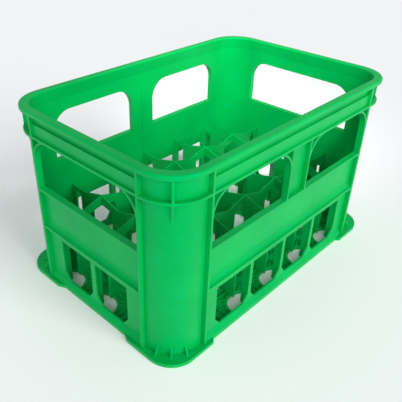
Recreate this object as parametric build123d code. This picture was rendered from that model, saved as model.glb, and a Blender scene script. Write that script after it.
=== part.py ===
from build123d import *
import math
import os

# Milk bottle crate: an open-topped moulded crate with a pocket for each of 24 bottles.
# +X runs along the long side, +Y to the back and +Z up. The origin is the middle of the
# rectangle that the crate stands on. All sizes are in millimetres.
# "out" is a distance outwards from the inner face of a wall, and "u" runs along the wall.

# ---- driving dimensions ---------------------------------------------------------------
HALF_LENGTH = 205.0         # inner face of the short walls, from the middle
HALF_WIDTH = 132.7          # inner face of the long walls, from the middle
HEIGHT = 245.0
POCKETS_LONG = 6
POCKETS_SHORT = 4
SKIN = 2.5                  # thickness of the wall skin
RIB_OUT = 8.4               # outer plane of the ribs, ledges and flanges
RIB = 3.0                   # thickness of the ribs and ledges
FLANGE = 2.5                # thickness of the border round a hand hole
CORNER_RADIUS = 39.5        # inner corner radius, seen from above

RIM_BOTTOM = 239.0
RIM_OUT = 9.2               # how far the rim stands out
RIM_CORNER = 46.0           # outer corner radius of the rim
RIM_LEAN = 2.4              # how far the inner face leans in at the top
RIM_LEAN_START = 228.0      # height where the inner face starts to lean in
RIM_OUTER_ROUND = 2.5
RIM_INNER_ROUND = 1.8
RIM_UNDER_ROUND = 1.0

HAND_TOP = 211.5            # hand holes, and the underside of the collar above them
HAND_RADIUS = 28.0
COLLAR_TOP = 214.5          # ledge that runs all round, over the hand holes
BEAM_OUT = 5.4              # hand-hold beam between the collar and the rim
BEAM_TOP = 229.0
SILL = 144.6
MULLION = 19.7              # half width of the column between the two hand holes

BAND_FLANGE = 89.3          # top of the flange along the foot of the band
BAND_COVE = 5.4             # hollow round above that flange
BAND_BOTTOM = 74.5          # also the top of the lower windows

RAIL_TOP = 13.0             # also the bottom of the lower windows
RAIL_OUT = 7.2
RAIL_LIP = 5.5              # height of the upright part of the base rail
WINDOW_LONG = 62.6          # width of the lower windows of a long wall
WINDOW_SHORT = 58.0         # width of the lower windows of a short wall
FLARE_WIDE = 9.0            # sloped lower corners of the lower windows
FLARE_TALL = 12.0

POST_LONG = 155.5           # where a corner post meets the long walls
POST_SHORT = 89.4           # where a corner post meets the short walls
GUSSET_BOTTOM = 187.0
FIN = 2.0                   # thickness of the foot fins
FIN_OUT = 10.5
FIN_TOP = 14.5

PAD_OUT = 12.2              # outer plane of the foot pads
PAD_CORNER = 35.0
PAD_TALL = 5.0
PAD_END_LONG = 142.0
PAD_END_SHORT = 60.0
PAD_SLANT_LONG = 4.0        # how far each end of a pad slants
PAD_SLANT_SHORT = 10.0

FLOOR = 3.0                 # thickness of the floor plate
HOLE = 24.6                 # radius of the floor holes
HOLE_RIM = 28.2             # outer radius of the raised rim of a floor hole
FLOOR_RIB_TALL = 2.2
FLOOR_RIB = 1.6             # thickness of the radial ribs on the floor
RIBS_PER_POCKET = 16
HUB = 4.0                   # radius of the boss in the middle of a pocket

WEB = 2.4                   # divider thickness
WEB_TOP = 101.0             # divider height midway between two crossings
NODE_TOP = 111.0            # divider height at a crossing
NODE_GAP = 97.0             # top of the opening under a crossing
SIDE_GAP = 93.0             # top of the same opening at its sides
GAP = 20.5                  # half width of that opening
GUIDE_WIDE = 4.0            # low rib up the inside of the column between two hand holes
GUIDE_DEEP = 1.0
GUIDE_TOP = 206.0
STUB = 9.0                  # depth of the stubs that hold the divider ends at the walls

PITCH_LONG = 2 * HALF_LENGTH / POCKETS_LONG
PITCH_SHORT = 2 * HALF_WIDTH / POCKETS_SHORT
ARCH = HAND_TOP - HAND_RADIUS   # height where the hand holes start to round over

os.makedirs("parts", exist_ok=True)


# ---- general helpers --------------------------------------------------------------------
def write(name, *solids):
    """Write one node; several separate solids go in as a group."""
    shape = solids[0] if len(solids) == 1 else Compound(children=list(solids))
    export_step(shape, f"parts/{name}.step")


def block(x0, x1, y0, y1, z0, z1):
    """A box between two x, two y and two z values."""
    middle = Pos((x0 + x1) / 2, (y0 + y1) / 2, (z0 + z1) / 2)
    return middle * Box(abs(x1 - x0), abs(y1 - y0), abs(z1 - z0))


def outline(out, radius=None):
    """The rounded rectangle that lies `out` outside the inner faces of the walls."""
    length = 2 * (HALF_LENGTH + out)
    width = 2 * (HALF_WIDTH + out)
    return RectangleRounded(length, width, radius or CORNER_RADIUS + out)


def slab(shape, z0, z1):
    return extrude(Pos(0, 0, z0) * shape, z1 - z0)


def ring(out_0, out_1, z0, z1, outer_radius=None):
    """A band round the whole crate, between two offsets and two heights."""
    return slab(outline(out_1, outer_radius), z0, z1) - slab(outline(out_0), z0, z1)


def turn(angle, shape):
    return Rot(0, 0, angle) * shape


# ---- rim --------------------------------------------------------------------------------
def top_rim():
    """Bead round the mouth; its inner face leans in a little from the wall underneath."""
    bead = slab(outline(RIM_OUT, RIM_CORNER), RIM_BOTTOM, HEIGHT)
    top = bead.faces().sort_by(Axis.Z)[-1]
    bead = fillet(top.edges(), RIM_OUTER_ROUND)
    bead = fillet(bead.faces().sort_by(Axis.Z)[0].edges(), RIM_UNDER_ROUND)
    bead += slab(outline(0), RIM_LEAN_START, RIM_BOTTOM)
    tall = HEIGHT - RIM_LEAN_START
    lean = math.degrees(math.atan(RIM_LEAN / tall))
    bead -= extrude(Pos(0, 0, RIM_LEAN_START) * outline(0), tall, taper=lean)
    top = bead.faces().sort_by(Axis.Z)[-1]
    return fillet(top.inner_wires()[0].edges(), RIM_INNER_ROUND)


# ---- walls, each drawn as the front wall at the distance `dist` from the middle ------------
def wall_block(dist, u0, u1, z0, z1, out_0=0.0, out_1=SKIN):
    return block(u0, u1, -dist - out_1, -dist - out_0, z0, z1)


def upright(dist, face, out_0, out_1):
    """Stand a face drawn in u and z up in the wall, between two offsets."""
    plane = Plane(origin=(0, -dist - out_0, 0), x_dir=(1, 0, 0), z_dir=(0, -1, 0))
    return extrude(plane * face, out_1 - out_0)


def along(dist, end, section):
    """Run a section drawn in out and z along the wall from -end to end."""
    plane = Plane(origin=(-end, -dist, 0), x_dir=(0, -1, 0), z_dir=(-1, 0, 0))
    return extrude(plane * section, -2 * end)


def hand_hole(u0, u1, grow=0.0):
    """Outline of a hand hole: square at the sill, rounded over at the top."""
    left = u0 - grow
    right = u1 + grow
    tall = HAND_TOP + grow - SILL
    hole = Pos((left + right) / 2, SILL + tall / 2) * Rectangle(right - left, tall)
    return fillet(hole.vertices().group_by(Axis.Y)[-1], HAND_RADIUS + grow)


def header(dist, long_wall):
    """Top of a wall: recessed neck, hand-hold beam, collar and arched hand-hole borders."""
    end = POST_LONG if long_wall else POST_SHORT
    holes = [(-end, -MULLION), (MULLION, end)] if long_wall else [(-end, end)]
    body = wall_block(dist, -end, end, ARCH, RIM_BOTTOM)
    body += wall_block(dist, -end, end, COLLAR_TOP, BEAM_TOP, 0, BEAM_OUT)
    body += wall_block(dist, -end, end, HAND_TOP, COLLAR_TOP, 0, RIB_OUT)
    clip = wall_block(dist, -end, end, ARCH, COLLAR_TOP, 0, RIB_OUT)
    for u0, u1 in holes:
        body += upright(dist, hand_hole(u0, u1, FLANGE), 0, RIB_OUT) & clip
    if long_wall:
        for side in (-1, 1):
            edge = side * MULLION
            body += wall_block(dist, edge, edge - side * FLANGE, ARCH, HAND_TOP, 0, RIB_OUT)
    for u0, u1 in holes:
        body -= upright(dist, hand_hole(u0, u1), -1, RIB_OUT + 1)
    return body


def mullion(dist):
    """Channel-shaped column between the two hand holes of a long wall."""
    column = wall_block(dist, -MULLION, MULLION, SILL, ARCH)
    for side in (-1, 1):
        edge = side * MULLION
        column += wall_block(dist, edge, edge - side * FLANGE, SILL, ARCH, 0, RIB_OUT)
    return column


def guide_rib(dist):
    """Low rib with a rounded end, on the inner face of a wall over its middle divider."""
    tall = GUIDE_TOP - WEB_TOP
    face = Pos(0, WEB_TOP + tall / 2) * Rectangle(GUIDE_WIDE, tall)
    face = fillet(face.vertices().group_by(Axis.Y)[-1], 0.45 * GUIDE_WIDE)
    return upright(dist, face, -GUIDE_DEEP, 0)


def mid_band(dist, long_wall):
    """Solid band round the middle, with a sill ledge above and a coved flange below."""
    end = POST_LONG if long_wall else POST_SHORT
    section = make_face(Polyline(
        (0, BAND_BOTTOM), (SKIN, BAND_BOTTOM), (SKIN, BAND_FLANGE - RIB),
        (RIB_OUT, BAND_FLANGE - RIB), (RIB_OUT, BAND_FLANGE), (SKIN, BAND_FLANGE),
        (SKIN, SILL - RIB), (RIB_OUT, SILL - RIB), (RIB_OUT, SILL), (0, SILL),
        (0, BAND_BOTTOM),
    ))
    cove = section.vertices().sort_by_distance((SKIN, BAND_FLANGE, 0))[0]
    return along(dist, end, fillet(cove, BAND_COVE))


def base_rail(dist, long_wall):
    """Rail along the foot of a wall, with a sloping shoulder."""
    end = POST_LONG if long_wall else POST_SHORT
    section = make_face(Polyline(
        (0, 0), (RAIL_OUT, 0), (RAIL_OUT, RAIL_LIP), (SKIN, RAIL_TOP), (0, RAIL_TOP), (0, 0)
    ))
    return along(dist, end, section)


def muntin(dist, u, half_width):
    """Narrow upright between two lower windows, spreading out at its foot."""
    foot = half_width + FLARE_WIDE
    knee = RAIL_TOP + FLARE_TALL
    face = make_face(Polyline(
        (u - foot, RAIL_TOP), (u + foot, RAIL_TOP), (u + half_width, knee),
        (u + half_width, BAND_BOTTOM), (u - half_width, BAND_BOTTOM),
        (u - half_width, knee), (u - foot, RAIL_TOP),
    ))
    return upright(dist, face, 0, SKIN)


def side_panel(u0, u1):
    """Solid panel between the last lower window, at u0, and the corner post, at u1."""
    toward = math.copysign(FLARE_WIDE, u0 - u1)
    return make_face(Polyline(
        (u0 + toward, RAIL_TOP), (u1, RAIL_TOP), (u1, BAND_BOTTOM), (u0, BAND_BOTTOM),
        (u0, RAIL_TOP + FLARE_TALL), (u0 + toward, RAIL_TOP),
    ))


# ---- corners, each drawn as the front left one ----------------------------------------------
def corner_zone(x_end, y_end, z0, z1):
    """The block beyond x = -x_end and y = -y_end that holds one corner."""
    reach = HALF_LENGTH + 2 * PAD_OUT
    return block(-reach, -x_end, -reach, -y_end, z0, z1)


def radial_plate(angle, profile, thick):
    """A plate on a radius of the corner; the profile is drawn in out and z."""
    centre = (-HALF_LENGTH + CORNER_RADIUS, -HALF_WIDTH + CORNER_RADIUS, 0)
    c = math.cos(math.radians(angle))
    s = math.sin(math.radians(angle))
    plane = Plane(origin=centre, x_dir=(c, s, 0), z_dir=(s, -c, 0))
    points = [(CORNER_RADIUS + out, z) for out, z in profile]
    return extrude(plane * make_face(Polyline(*points, points[0])), thick / 2, both=True)


def corner_post():
    """Rounded corner with an upright rib at each side, a collar, a gusset and foot fins."""
    zone = corner_zone(POST_LONG, POST_SHORT, PAD_TALL, RIM_BOTTOM)
    post = ring(0, SKIN, PAD_TALL, RIM_BOTTOM) & zone
    post += ring(0, RIB_OUT, HAND_TOP, COLLAR_TOP) & zone
    post += block(
        -POST_LONG - RIB, -POST_LONG, -HALF_WIDTH - RIB_OUT, -HALF_WIDTH, PAD_TALL, RIM_BOTTOM
    )
    post += block(
        -HALF_LENGTH - RIB_OUT, -HALF_LENGTH, -POST_SHORT - RIB, -POST_SHORT, PAD_TALL, RIM_BOTTOM
    )
    gusset = [(SKIN / 2, RIM_BOTTOM), (RIB_OUT, RIM_BOTTOM), (RIB_OUT, HAND_TOP),
              (SKIN, GUSSET_BOTTOM), (SKIN / 2, GUSSET_BOTTOM)]
    post += radial_plate(225, gusset, RIB)
    fin = [(SKIN / 2, PAD_TALL), (FIN_OUT, PAD_TALL), (SKIN, FIN_TOP), (SKIN / 2, FIN_TOP)]
    for angle in (202.5, 225, 247.5):
        post += radial_plate(angle, fin, FIN)
    window_long = -1.5 * PITCH_LONG - WINDOW_LONG / 2
    post += upright(HALF_WIDTH, side_panel(window_long, -POST_LONG), 0, SKIN)
    window_short = PITCH_SHORT / 2 + WINDOW_SHORT / 2
    post += turn(270, upright(HALF_LENGTH, side_panel(window_short, POST_SHORT), 0, SKIN))
    return post


def foot_pad():
    """Flange that spreads outwards round the foot of a corner, with slanted ends."""
    tip_long = PAD_END_LONG + PAD_SLANT_LONG
    tip_short = PAD_END_SHORT + PAD_SLANT_SHORT
    rail_x = -HALF_LENGTH - RAIL_OUT
    rail_y = -HALF_WIDTH - RAIL_OUT
    edge_x = -HALF_LENGTH - PAD_OUT
    edge_y = -HALF_WIDTH - PAD_OUT
    pad = ring(0, PAD_OUT, 0, PAD_TALL, PAD_CORNER)
    area = make_face(Polyline(
        (-POST_LONG, -POST_SHORT), (-POST_LONG, rail_y), (-PAD_END_LONG, rail_y),
        (-tip_long, edge_y), (edge_x, edge_y), (edge_x, -tip_short),
        (rail_x, -PAD_END_SHORT), (rail_x, -POST_SHORT), (-POST_LONG, -POST_SHORT),
    ))
    return pad & slab(area, 0, PAD_TALL)


# ---- floor -----------------------------------------------------------------------------------
def crossing(i, j):
    """Where divider lines i and j cross; line 0 and the last line are the walls."""
    return -HALF_LENGTH + i * PITCH_LONG, -HALF_WIDTH + j * PITCH_SHORT


def row_crossings(row):
    """The crossings on both sides of a row of pockets, but not the crate's corners."""
    for i in range(POCKETS_LONG + 1):
        for j in (row, row + 1):
            if not (i in (0, POCKETS_LONG) and j in (0, POCKETS_SHORT)):
                yield crossing(i, j)


def row_strip(row):
    """The part of the floor that lies under one row of pockets, seen from above."""
    y = crossing(0, row)[1] + PITCH_SHORT / 2
    return outline(0) & (Pos(0, y) * Rectangle(2 * HALF_LENGTH, PITCH_SHORT))


def divider_lines():
    """Every divider seen from above, from wall to wall."""
    lines = []
    for i in range(1, POCKETS_LONG):
        lines.append(Pos(crossing(i, 0)[0], 0) * Rectangle(WEB, 2 * HALF_WIDTH))
    for j in range(1, POCKETS_SHORT):
        lines.append(Pos(0, crossing(0, j)[1]) * Rectangle(2 * HALF_LENGTH, WEB))
    return lines


def floor_row(row):
    """Floor plate under one row, with its round holes and their raised rims."""
    plate = row_strip(row)
    rims = [Pos(x, y) * Circle(HOLE_RIM) for x, y in row_crossings(row)]
    rims = (Sketch() + rims) & row_strip(row)
    for x, y in row_crossings(row):
        plate -= Pos(x, y) * Circle(HOLE)
        rims -= Pos(x, y) * Circle(HOLE)
    for line in divider_lines():
        rims -= line
    return slab(plate, 0, FLOOR) + slab(rims, FLOOR, FLOOR + FLOOR_RIB_TALL)


def rosette(x, y):
    """Low ribs that spread from the middle of a pocket to its dividers and holes."""
    ribs = Circle(HUB)
    for k in range(RIBS_PER_POCKET // 2):
        angle = 360 * k / RIBS_PER_POCKET
        ribs += Rot(0, 0, angle) * Rectangle(PITCH_LONG + PITCH_SHORT, FLOOR_RIB)
    x0 = x - PITCH_LONG / 2
    y0 = y - PITCH_SHORT / 2
    pocket = make_face(Polyline(
        (x0, y0), (x0 + PITCH_LONG, y0), (x0 + PITCH_LONG, y0 + PITCH_SHORT),
        (x0, y0 + PITCH_SHORT), (x0, y0),
    ))
    for line in divider_lines():
        pocket -= line
    return (Pos(x, y) * ribs) & pocket & outline(0)


def floor_ribs(row):
    """The rib pattern of every pocket in one row, as separate solids."""
    solids = []
    for i in range(POCKETS_LONG):
        x, y = crossing(i, row)
        ribs = rosette(x + PITCH_LONG / 2, y + PITCH_SHORT / 2)
        for hole_x, hole_y in row_crossings(row):
            ribs -= Pos(hole_x, hole_y) * Circle(HOLE_RIM)
        solids.append(slab(ribs, FLOOR, FLOOR + FLOOR_RIB_TALL))
    return solids


# ---- dividers ----------------------------------------------------------------------------------
def divider_panel(pitch, trim, wall_left, wall_right):
    """Side view of one divider panel, from one crossing to the next.

    It rises in a straight slope to each crossing and has only a narrow leg down to the
    floor. Towards a wall it stays level, and stops above the stub that stands there.
    `trim` is taken off at a crossing.
    """
    half = pitch / 2
    shoulder = half - GAP
    left_top = WEB_TOP if wall_left else NODE_TOP
    right_top = WEB_TOP if wall_right else NODE_TOP
    face = make_face(Polyline(
        (-shoulder, FLOOR), (shoulder, FLOOR), (shoulder, SIDE_GAP), (half, NODE_GAP),
        (half, right_top), (0, WEB_TOP), (-half, left_top), (-half, NODE_GAP),
        (-shoulder, SIDE_GAP), (-shoulder, FLOOR),
    ))
    for at_wall, side in ((wall_left, -1), (wall_right, 1)):
        if not at_wall:
            face -= Pos(side * half, NODE_TOP / 2) * Rectangle(2 * trim, 2 * NODE_TOP)
    return face


def long_divider_bay(column):
    """The three divider panels that run along X in one column of pockets."""
    walls = (column == 0, column == POCKETS_LONG - 1)
    face = divider_panel(PITCH_LONG, 0, *walls)
    solids = []
    for j in range(1, POCKETS_SHORT):
        x, y = crossing(column, j)
        plane = Plane(origin=(x + PITCH_LONG / 2, y, 0), x_dir=(1, 0, 0), z_dir=(0, -1, 0))
        solids.append(extrude(plane * face, WEB / 2, both=True))
    return solids


def cross_divider_row(row):
    """The five divider panels that run along Y in one row of pockets."""
    walls = (row == 0, row == POCKETS_SHORT - 1)
    face = divider_panel(PITCH_SHORT, WEB / 2, *walls)
    solids = []
    for i in range(1, POCKETS_LONG):
        x, y = crossing(i, row)
        plane = Plane(origin=(x, y + PITCH_SHORT / 2, 0), x_dir=(0, 1, 0), z_dir=(1, 0, 0))
        solids.append(extrude(plane * face, WEB / 2, both=True))
    return solids


def divider_stubs(dist, places):
    """Short plates that stand on a wall under the ends of the dividers."""
    slope = (NODE_GAP - SIDE_GAP) / GAP
    section = make_face(Polyline(
        (0, FLOOR), (-STUB, FLOOR), (-STUB, NODE_GAP - slope * STUB), (0, NODE_GAP), (0, FLOOR)
    ))
    solids = []
    for u in places:
        plane = Plane(origin=(u, -dist, 0), x_dir=(0, -1, 0), z_dir=(-1, 0, 0))
        solids.append(extrude(plane * section, WEB / 2, both=True))
    return solids


# ---- write every node -----------------------------------------------------------------------------
write("top_rim", top_rim())

WALLS = {
    "front": (HALF_WIDTH, True, 0),
    "right": (HALF_LENGTH, False, 90),
    "back": (HALF_WIDTH, True, 180),
    "left": (HALF_LENGTH, False, 270),
}
for name, (dist, long_wall, angle) in WALLS.items():
    write(f"header_{name}", turn(angle, header(dist, long_wall)))
    write(f"mid_band_{name}", turn(angle, mid_band(dist, long_wall)))
    write(f"base_rail_{name}", turn(angle, base_rail(dist, long_wall)))
    if long_wall:
        places = [crossing(i, 0)[0] for i in range(1, POCKETS_LONG)]
        write(f"mullion_{name}", turn(angle, mullion(dist)))
        half_width = (PITCH_LONG - WINDOW_LONG) / 2
        for k in (-1, 0, 1):
            post = muntin(dist, k * PITCH_LONG, half_width)
            write(f"muntin_{name}_{k + 2}", turn(angle, post))
    else:
        places = [crossing(0, j)[1] for j in range(1, POCKETS_SHORT)]
        half_width = (PITCH_SHORT - WINDOW_SHORT) / 2
        write(f"muntin_{name}", turn(angle, muntin(dist, 0, half_width)))
    stubs = [turn(angle, stub) for stub in divider_stubs(dist, places)]
    write(f"divider_stubs_{name}", *stubs)

CORNERS = {
    "front_left": (False, False),
    "front_right": (True, False),
    "back_right": (True, True),
    "back_left": (False, True),
}
for name, (flip_x, flip_y) in CORNERS.items():
    for kind, shape in (("corner_post", corner_post()), ("foot_pad", foot_pad())):
        if flip_x:
            shape = mirror(shape, Plane.YZ)
        if flip_y:
            shape = mirror(shape, Plane.XZ)
        write(f"{kind}_{name}", shape)

write("guide_ribs", guide_rib(HALF_WIDTH), turn(180, guide_rib(HALF_WIDTH)))
for row in range(POCKETS_SHORT):
    write(f"floor_row_{row + 1}", floor_row(row))
    write(f"floor_ribs_{row + 1}", *floor_ribs(row))
    write(f"cross_dividers_{row + 1}", *cross_divider_row(row))
for column in range(POCKETS_LONG):
    write(f"long_dividers_{column + 1}", *long_divider_bay(column))
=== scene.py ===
import math

import bpy
from mathutils import Matrix, Vector

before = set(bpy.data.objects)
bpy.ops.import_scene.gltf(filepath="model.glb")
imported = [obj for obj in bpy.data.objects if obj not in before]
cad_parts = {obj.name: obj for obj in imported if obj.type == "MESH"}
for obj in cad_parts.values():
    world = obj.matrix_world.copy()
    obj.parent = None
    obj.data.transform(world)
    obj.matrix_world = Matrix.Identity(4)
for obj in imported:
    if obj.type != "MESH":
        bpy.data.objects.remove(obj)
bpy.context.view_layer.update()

# ---- camera: where the crate is seen from, in metres and degrees ---------------------------
CAMERA_PLACE = (-0.4961, -0.41696, 0.4816)
CAMERA_AZIMUTH = -46.04
CAMERA_ELEVATION = 32.69
CAMERA_ROLL = 0.82
CAMERA_LENS = 47.4                   # millimetres
CAMERA_SENSOR = 36.0                 # millimetres
CAMERA_SHIFT = (0.0622, 0.0053)
CAMERA_NEAREST = 0.01

# ---- light ---------------------------------------------------------------------------------
SOFT_LIGHTS = {                      # azimuth and elevation it comes from, strength
    "key": (5, 27, 2.1),
    "side": (-52, 25, 1.4),
}
SOFTNESS = 35.0                      # degrees that each soft light spans
INSIDE_PLACE = (-0.5, -0.38, 0.95)   # a spot light that looks into the far corner
INSIDE_TARGET = (0.17, 0.1, 0.2)
INSIDE_CONE = 26                     # degrees
INSIDE_RADIUS = 0.12
INSIDE_POWER = 62.0
SKY_COLOUR = (0.93, 0.97, 1.0)
SKY_STRENGTH = 0.45

# ---- plastic: colours are linear, noise scales count cells per metre -----------------------
GREEN = (0.0, 0.39, 0.065)
GREEN_SHEEN = (0.0, 0.6, 1.0)        # tint of the gloss on the plastic
SCUFF = (0.0, 0.38, 0.11)            # rubbed plastic, slightly bluer
REFRACTION = 1.25                    # lower than in real plastic, for a weaker gloss at low angles
GLOSS = 1.0
FLOW_SHADES = (0.88, 1.08)           # darkest and lightest flow marks, as shares of GREEN
FLOW_SCALE = 14.0
SCUFF_AMOUNT = (-0.4, 0.35)          # below zero is none, so the scuffs come in patches
SCUFF_SCALE = 90.0
SCUFF_DETAIL = 8.0
ROUGHNESS = (0.34, 0.5)
ROUGHNESS_SCALE = 45.0
GRAIN_SCALE = 700.0
GRAIN_DETAIL = 2.0
GRAIN_STRENGTH = 0.12
GRAIN_DEPTH = 0.0003                 # metres
NOISE_RANGE = (0.3, 0.7)             # where most of a noise lies

# ---- floor ---------------------------------------------------------------------------------
FLOOR_COLOUR = (1.0, 1.0, 1.0)
FLOOR_SHADE = 0.97                   # darkest cloud on the floor, as a share of its colour
FLOOR_ROUGHNESS = 0.9
FLOOR_SCALE = 3.0
FLOOR_REACH = 6.0                    # metres from the middle to each side

# ---- edges ---------------------------------------------------------------------------------
CREASE_ANGLE = 12.0                  # degrees; edges sharper than this are creases
MERGE_DISTANCE = 0.00001             # metres; corners closer than this are one


# ---- materials -----------------------------------------------------------------------------
def new_material(name):
    material = bpy.data.materials.new(name)
    material.use_nodes = True
    nodes = material.node_tree.nodes
    links = material.node_tree.links
    return material, nodes, links, nodes["Principled BSDF"]


def noise(nodes, links, coords, scale, detail=4.0):
    texture = nodes.new("ShaderNodeTexNoise")
    texture.inputs["Scale"].default_value = scale
    texture.inputs["Detail"].default_value = detail
    links.new(coords, texture.inputs["Vector"])
    return texture.outputs["Fac"]


def spread(nodes, links, value, low, high):
    """Map the middle of a noise to the range low..high."""
    ramp = nodes.new("ShaderNodeMapRange")
    ramp.inputs["From Min"].default_value = NOISE_RANGE[0]
    ramp.inputs["From Max"].default_value = NOISE_RANGE[1]
    ramp.inputs["To Min"].default_value = low
    ramp.inputs["To Max"].default_value = high
    links.new(value, ramp.inputs["Value"])
    return ramp.outputs["Result"]


def blend_colours(nodes, links, amount, colour_1, colour_2):
    """Mix from colour_1, a colour or another node's output, to colour_2."""
    mix = nodes.new("ShaderNodeMixRGB")
    links.new(amount, mix.inputs["Fac"])
    if isinstance(colour_1, tuple):
        mix.inputs["Color1"].default_value = (*colour_1, 1)
    else:
        links.new(colour_1, mix.inputs["Color1"])
    mix.inputs["Color2"].default_value = (*colour_2, 1)
    return mix.outputs["Color"]


def moulded_plastic():
    """Satin green plastic with slight flow marks, faint scuffs and a fine grain."""
    material, nodes, links, shader = new_material("crate_plastic")
    coords = nodes.new("ShaderNodeTexCoord").outputs["Object"]
    shader.inputs["IOR"].default_value = REFRACTION
    shader.inputs["Specular IOR Level"].default_value = GLOSS
    shader.inputs["Specular Tint"].default_value = (*GREEN_SHEEN, 1)
    dark, light = (tuple(shade * c for c in GREEN) for shade in FLOW_SHADES)
    flow = spread(nodes, links, noise(nodes, links, coords, FLOW_SCALE), 0, 1)
    tint = blend_colours(nodes, links, flow, dark, light)
    rubbing = noise(nodes, links, coords, SCUFF_SCALE, SCUFF_DETAIL)
    rubbed = spread(nodes, links, rubbing, *SCUFF_AMOUNT)
    tint = blend_colours(nodes, links, rubbed, tint, SCUFF)
    links.new(tint, shader.inputs["Base Color"])
    sheen = noise(nodes, links, coords, ROUGHNESS_SCALE)
    links.new(spread(nodes, links, sheen, *ROUGHNESS), shader.inputs["Roughness"])
    grain = noise(nodes, links, coords, GRAIN_SCALE, GRAIN_DETAIL)
    bump = nodes.new("ShaderNodeBump")
    bump.inputs["Strength"].default_value = GRAIN_STRENGTH
    bump.inputs["Distance"].default_value = GRAIN_DEPTH
    links.new(grain, bump.inputs["Height"])
    links.new(bump.outputs["Normal"], shader.inputs["Normal"])
    return material


def crisp_edges():
    """Nodes of a modifier that shades every edge sharper than CREASE_ANGLE as a clean crease."""
    tree = bpy.data.node_groups.new("crisp_edges", "GeometryNodeTree")
    tree.interface.new_socket("Geometry", in_out="INPUT", socket_type="NodeSocketGeometry")
    tree.interface.new_socket("Geometry", in_out="OUTPUT", socket_type="NodeSocketGeometry")
    start = tree.nodes.new("NodeGroupInput")
    end = tree.nodes.new("NodeGroupOutput")
    merge = tree.nodes.new("GeometryNodeMergeByDistance")
    merge.inputs["Distance"].default_value = MERGE_DISTANCE
    angle = tree.nodes.new("GeometryNodeInputMeshEdgeAngle")
    sharp = tree.nodes.new("FunctionNodeCompare")
    sharp.operation = "GREATER_THAN"
    sharp.inputs["B"].default_value = math.radians(CREASE_ANGLE)
    normals = tree.nodes.new("GeometryNodeSetMeshNormal")
    normals.mode = "SHARPNESS"
    normals.inputs["Remove Custom"].default_value = True
    tree.links.new(start.outputs[0], merge.inputs["Geometry"])
    tree.links.new(merge.outputs["Geometry"], normals.inputs["Mesh"])
    tree.links.new(angle.outputs["Unsigned Angle"], sharp.inputs["A"])
    tree.links.new(sharp.outputs["Result"], normals.inputs["Edge Sharpness"])
    tree.links.new(normals.outputs["Mesh"], end.inputs[0])
    return tree


PLASTIC = moulded_plastic()
CRISP = crisp_edges()
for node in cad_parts.values():
    node.data.materials.clear()
    node.data.materials.append(PLASTIC)
    modifier = node.modifiers.new("crisp_edges", "NODES")
    modifier.node_group = CRISP


# ---- floor, light and camera ---------------------------------------------------------------
def pale_floor():
    """A flat white floor with the faintest clouds."""
    mesh = bpy.data.meshes.new("floor")
    s = FLOOR_REACH
    mesh.from_pydata([(-s, -s, 0), (s, -s, 0), (s, s, 0), (-s, s, 0)], [], [(0, 1, 2, 3)])
    floor = bpy.data.objects.new("floor", mesh)
    bpy.context.collection.objects.link(floor)
    material, nodes, links, shader = new_material("floor_paint")
    coords = nodes.new("ShaderNodeTexCoord").outputs["Object"]
    shader.inputs["Roughness"].default_value = FLOOR_ROUGHNESS
    shaded = tuple(c * FLOOR_SHADE for c in FLOOR_COLOUR)
    clouds = noise(nodes, links, coords, FLOOR_SCALE)
    tint = blend_colours(nodes, links, clouds, shaded, FLOOR_COLOUR)
    links.new(tint, shader.inputs["Base Color"])
    mesh.materials.append(material)


def toward(azimuth, elevation):
    """Direction from the crate to a place; azimuth 0 is in front, elevation is above the floor."""
    azimuth = math.radians(azimuth)
    elevation = math.radians(elevation)
    return Vector((
        math.sin(azimuth) * math.cos(elevation),
        -math.cos(azimuth) * math.cos(elevation),
        math.sin(elevation),
    ))


def soft_light(name, azimuth, elevation, strength):
    """A wide, even light that reaches the whole floor alike."""
    light = bpy.data.lights.new(name, "SUN")
    light.energy = strength
    light.angle = math.radians(SOFTNESS)
    lamp = bpy.data.objects.new(name, light)
    lamp.rotation_euler = toward(azimuth, elevation).to_track_quat("Z", "Y").to_euler()
    bpy.context.collection.objects.link(lamp)


def spot_light(name, place, target, cone, radius, power):
    """A light at a place, aimed at a target, that fades out towards the sides of its cone."""
    light = bpy.data.lights.new(name, "SPOT")
    light.energy = power
    light.spot_size = math.radians(cone)
    light.spot_blend = 1.0
    light.shadow_soft_size = radius
    lamp = bpy.data.objects.new(name, light)
    lamp.location = place
    aim = Vector(place) - Vector(target)
    lamp.rotation_euler = aim.to_track_quat("Z", "Y").to_euler()
    bpy.context.collection.objects.link(lamp)


def studio_world():
    world = bpy.data.worlds.new("studio")
    world.use_nodes = True
    sky = world.node_tree.nodes["Background"]
    sky.inputs["Color"].default_value = (*SKY_COLOUR, 1)
    sky.inputs["Strength"].default_value = SKY_STRENGTH
    bpy.context.scene.world = world


def photo_camera():
    back = toward(CAMERA_AZIMUTH, CAMERA_ELEVATION)
    right = Vector((0, 0, 1)).cross(back).normalized()
    up = back.cross(right)
    roll = math.radians(CAMERA_ROLL)
    tilted_right = right * math.cos(roll) + up * math.sin(roll)
    tilted_up = up * math.cos(roll) - right * math.sin(roll)
    turn = Matrix((tilted_right, tilted_up, back)).transposed()
    data = bpy.data.cameras.new("camera")
    data.lens = CAMERA_LENS
    data.sensor_width = CAMERA_SENSOR
    data.shift_x, data.shift_y = CAMERA_SHIFT
    data.clip_start = CAMERA_NEAREST
    camera = bpy.data.objects.new("camera", data)
    camera.matrix_world = Matrix.Translation(CAMERA_PLACE) @ turn.to_4x4()
    bpy.context.collection.objects.link(camera)
    bpy.context.scene.camera = camera


pale_floor()
studio_world()
for name, (azimuth, elevation, strength) in SOFT_LIGHTS.items():
    soft_light(name, azimuth, elevation, strength)
spot_light("inside", INSIDE_PLACE, INSIDE_TARGET, INSIDE_CONE, INSIDE_RADIUS, INSIDE_POWER)
photo_camera()
bpy.context.scene.view_settings.view_transform = "Standard"
